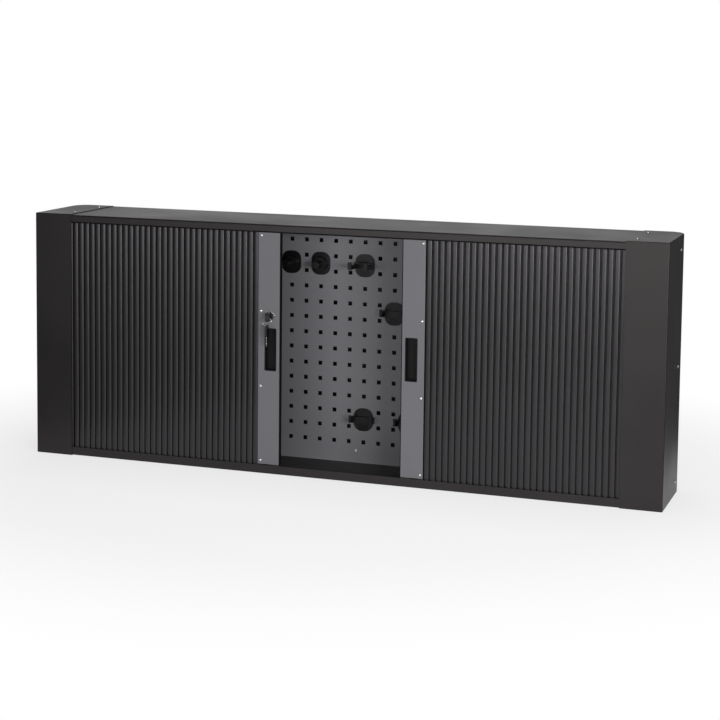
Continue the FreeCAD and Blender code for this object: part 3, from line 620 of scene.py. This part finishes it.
def curtain(name, side):
    """The slats in front, each a piece of its own, and those put away in the end box as one."""
    low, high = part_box(name + "_front_slats")
    start = min(abs(low.x), abs(high.x)) - SLAT_GAP / 2
    count = round((high.x - low.x) / SLAT_PITCH)
    for number in range(count):
        along = (number + 0.5) * SLAT_PITCH
        title = f"{name}_slat_{number + 1:02d}"
        mesh = slat_mesh(title, side, start + along, low.y, low.z, high.z)
        slat = piece(title, mesh, "slat_plastic")
        follow_share(slat)
        if number == 0:
            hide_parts(name + "_front_slats")
    stored_node = frame["nodes"][name + "_stored_slats"]
    stored = piece(name + "_put_away_slats", stored_node.data.copy(), "slat_plastic")
    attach(stored, "carcass")
    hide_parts(name + "_stored_slats")


def seen_directly(tree):
    """1 for rays from the camera, and for those that come by way of a mirror or a pane; 0 for light."""
    path = tree.nodes.new("ShaderNodeLightPath")
    first = tree.nodes.new("ShaderNodeMath")
    first.operation = "MAXIMUM"
    both = tree.nodes.new("ShaderNodeMath")
    both.operation = "MAXIMUM"
    tree.links.new(path.outputs["Is Camera Ray"], first.inputs[0])
    tree.links.new(path.outputs["Is Glossy Ray"], first.inputs[1])
    tree.links.new(first.outputs[0], both.inputs[0])
    tree.links.new(path.outputs["Is Transmission Ray"], both.inputs[1])
    return both.outputs[0]


def glow(tree):
    """A surface that shows as plain white."""
    made = tree.nodes.new("ShaderNodeEmission")
    made.inputs["Color"].default_value = (1.0, 1.0, 1.0, 1.0)
    made.inputs["Strength"].default_value = 1.0
    return made.outputs[0]


def mixed(tree, factor, first, second):
    made = tree.nodes.new("ShaderNodeMixShader")
    tree.links.new(factor, made.inputs["Fac"])
    tree.links.new(first, made.inputs[1])
    tree.links.new(second, made.inputs[2])
    return made.outputs[0]


def soft_world():
    """A faint even light from all sides."""
    world = bpy.data.worlds.new("studio")
    bpy.context.scene.world = world
    world.use_nodes = True
    sky = world.node_tree.nodes["Background"]
    sky.inputs["Color"].default_value = (1.0, 1.0, 1.0, 1.0)
    sky.inputs["Strength"].default_value = WORLD_LIGHT


def stage_plane(name, corners, made):
    """A four-cornered plane of the studio, which is no piece of the cabinet."""
    mesh = bpy.data.meshes.new(name)
    mesh.from_pydata(corners, [], [(0, 1, 2, 3)])
    mesh.materials.append(made)
    plane = bpy.data.objects.new(name, mesh)
    bpy.context.scene.collection.objects.link(plane)


def paper_backdrop():
    """A white paper wall behind the cabinet, square to the camera."""
    made, tree, shader = material("white_paper", specular=0.0, roughness=STAGE_ROUGHNESS)
    shader.inputs["Base Color"].default_value = (PAPER_TONE, PAPER_TONE, PAPER_TONE, 1.0)
    surface = mixed(tree, seen_directly(tree), shader.outputs[0], glow(tree))
    tree.links.new(surface, tree.nodes["Material Output"].inputs["Surface"])
    yaw = radians(CAMERA_YAW_DEG)
    ahead = Vector((sin(yaw), cos(yaw), 0.0)) * BACKDROP_DISTANCE
    aside = Vector((cos(yaw), -sin(yaw), 0.0)) * BACKDROP_WIDTH / 2
    foot = Vector((0.0, 0.0, cad_box[0].z - FLOOR_GAP))
    rise = Vector((0.0, 0.0, BACKDROP_HEIGHT))
    stage_plane("backdrop", [ahead - aside + foot, ahead + aside + foot, ahead + aside + foot + rise,
                             ahead - aside + foot + rise], made)


def camera_place():
    return Vector((CAMERA_X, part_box("left_end_box")[0].y - CAMERA_DISTANCE, CAMERA_Z))


def floor_corner(turn_deg, ahead):
    """A point on the floor, so far ahead of the camera and turned so far to the right of its aim."""
    yaw = radians(CAMERA_YAW_DEG + turn_deg)
    corner = camera_place() + Vector((sin(yaw), cos(yaw), 0.0)) * ahead / cos(radians(turn_deg))
    corner.z = cad_box[0].z - FLOOR_GAP
    return corner


def pale_floor():
    """A pale floor that takes the cabinet's shadow and fades to white away from it."""
    made, tree, shader = material("pale_floor", specular=0.0, roughness=STAGE_ROUGHNESS)
    shader.inputs["Base Color"].default_value = (FLOOR_TONE, FLOOR_TONE, FLOOR_TONE, 1.0)
    place = tree.nodes.new("ShaderNodeTexCoord")
    away = tree.nodes.new("ShaderNodeVectorMath")
    away.operation = "LENGTH"
    fade = tree.nodes.new("ShaderNodeMapRange")
    fade.interpolation_type = "SMOOTHSTEP"
    fade.inputs["From Min"].default_value = FLOOR_FADE_START
    fade.inputs["From Max"].default_value = FLOOR_FADE_END
    fade.inputs["To Min"].default_value = FLOOR_LIFT
    tree.links.new(place.outputs["Object"], away.inputs[0])
    tree.links.new(away.outputs["Value"], fade.inputs["Value"])
    shown = mixed(tree, fade.outputs["Result"], shader.outputs[0], glow(tree))
    surface = mixed(tree, seen_directly(tree), shader.outputs[0], shown)
    tree.links.new(surface, tree.nodes["Material Output"].inputs["Surface"])
    corners = [floor_corner(FLOOR_LEFT_DEG, FLOOR_NEAR), floor_corner(FLOOR_RIGHT_DEG, FLOOR_NEAR),
               floor_corner(FLOOR_RIGHT_DEG, FLOOR_FAR), floor_corner(FLOOR_LEFT_DEG, FLOOR_FAR)]
    stage_plane("floor", corners, made)


def lamp(name, place, width, height, power):
    """A rectangular lamp that is aimed at the cabinet."""
    light = bpy.data.lights.new(name, "AREA")
    light.shape = "RECTANGLE"
    light.size = width
    light.size_y = height
    light.energy = power
    made = bpy.data.objects.new(name, light)
    made.location = place
    made.rotation_mode = "QUATERNION"
    made.rotation_quaternion = (Vector(LAMP_AIM) - Vector(place)).to_track_quat("-Z", "Y")
    bpy.context.scene.collection.objects.link(made)


def camera():
    data = bpy.data.cameras.new("camera")
    data.sensor_width = CAMERA_SENSOR
    data.lens = CAMERA_LENS
    data.shift_x = CAMERA_SHIFT_X
    data.shift_y = CAMERA_SHIFT_Y
    made = bpy.data.objects.new("camera", data)
    bpy.context.scene.collection.objects.link(made)
    turn = (Matrix.Rotation(radians(-CAMERA_YAW_DEG), 4, "Z")
            @ Matrix.Rotation(pi / 2 + radians(CAMERA_PITCH_DEG), 4, "X")
            @ Matrix.Rotation(radians(CAMERA_ROLL_DEG), 4, "Z"))
    made.matrix_world = Matrix.Translation(camera_place()) @ turn
    bpy.context.scene.camera = made


finish_nodes()
rounded_nodes()
all_fasteners()
split_ring()
cut_key()
painted_shade_lines()
curtain("left", -1)
curtain("right", 1)
soft_world()
pale_floor()
paper_backdrop()
for settings in LAMPS:
    lamp(*settings)
camera()
bpy.context.scene.view_settings.view_transform = "Standard"

bpy.context.view_layer.update()
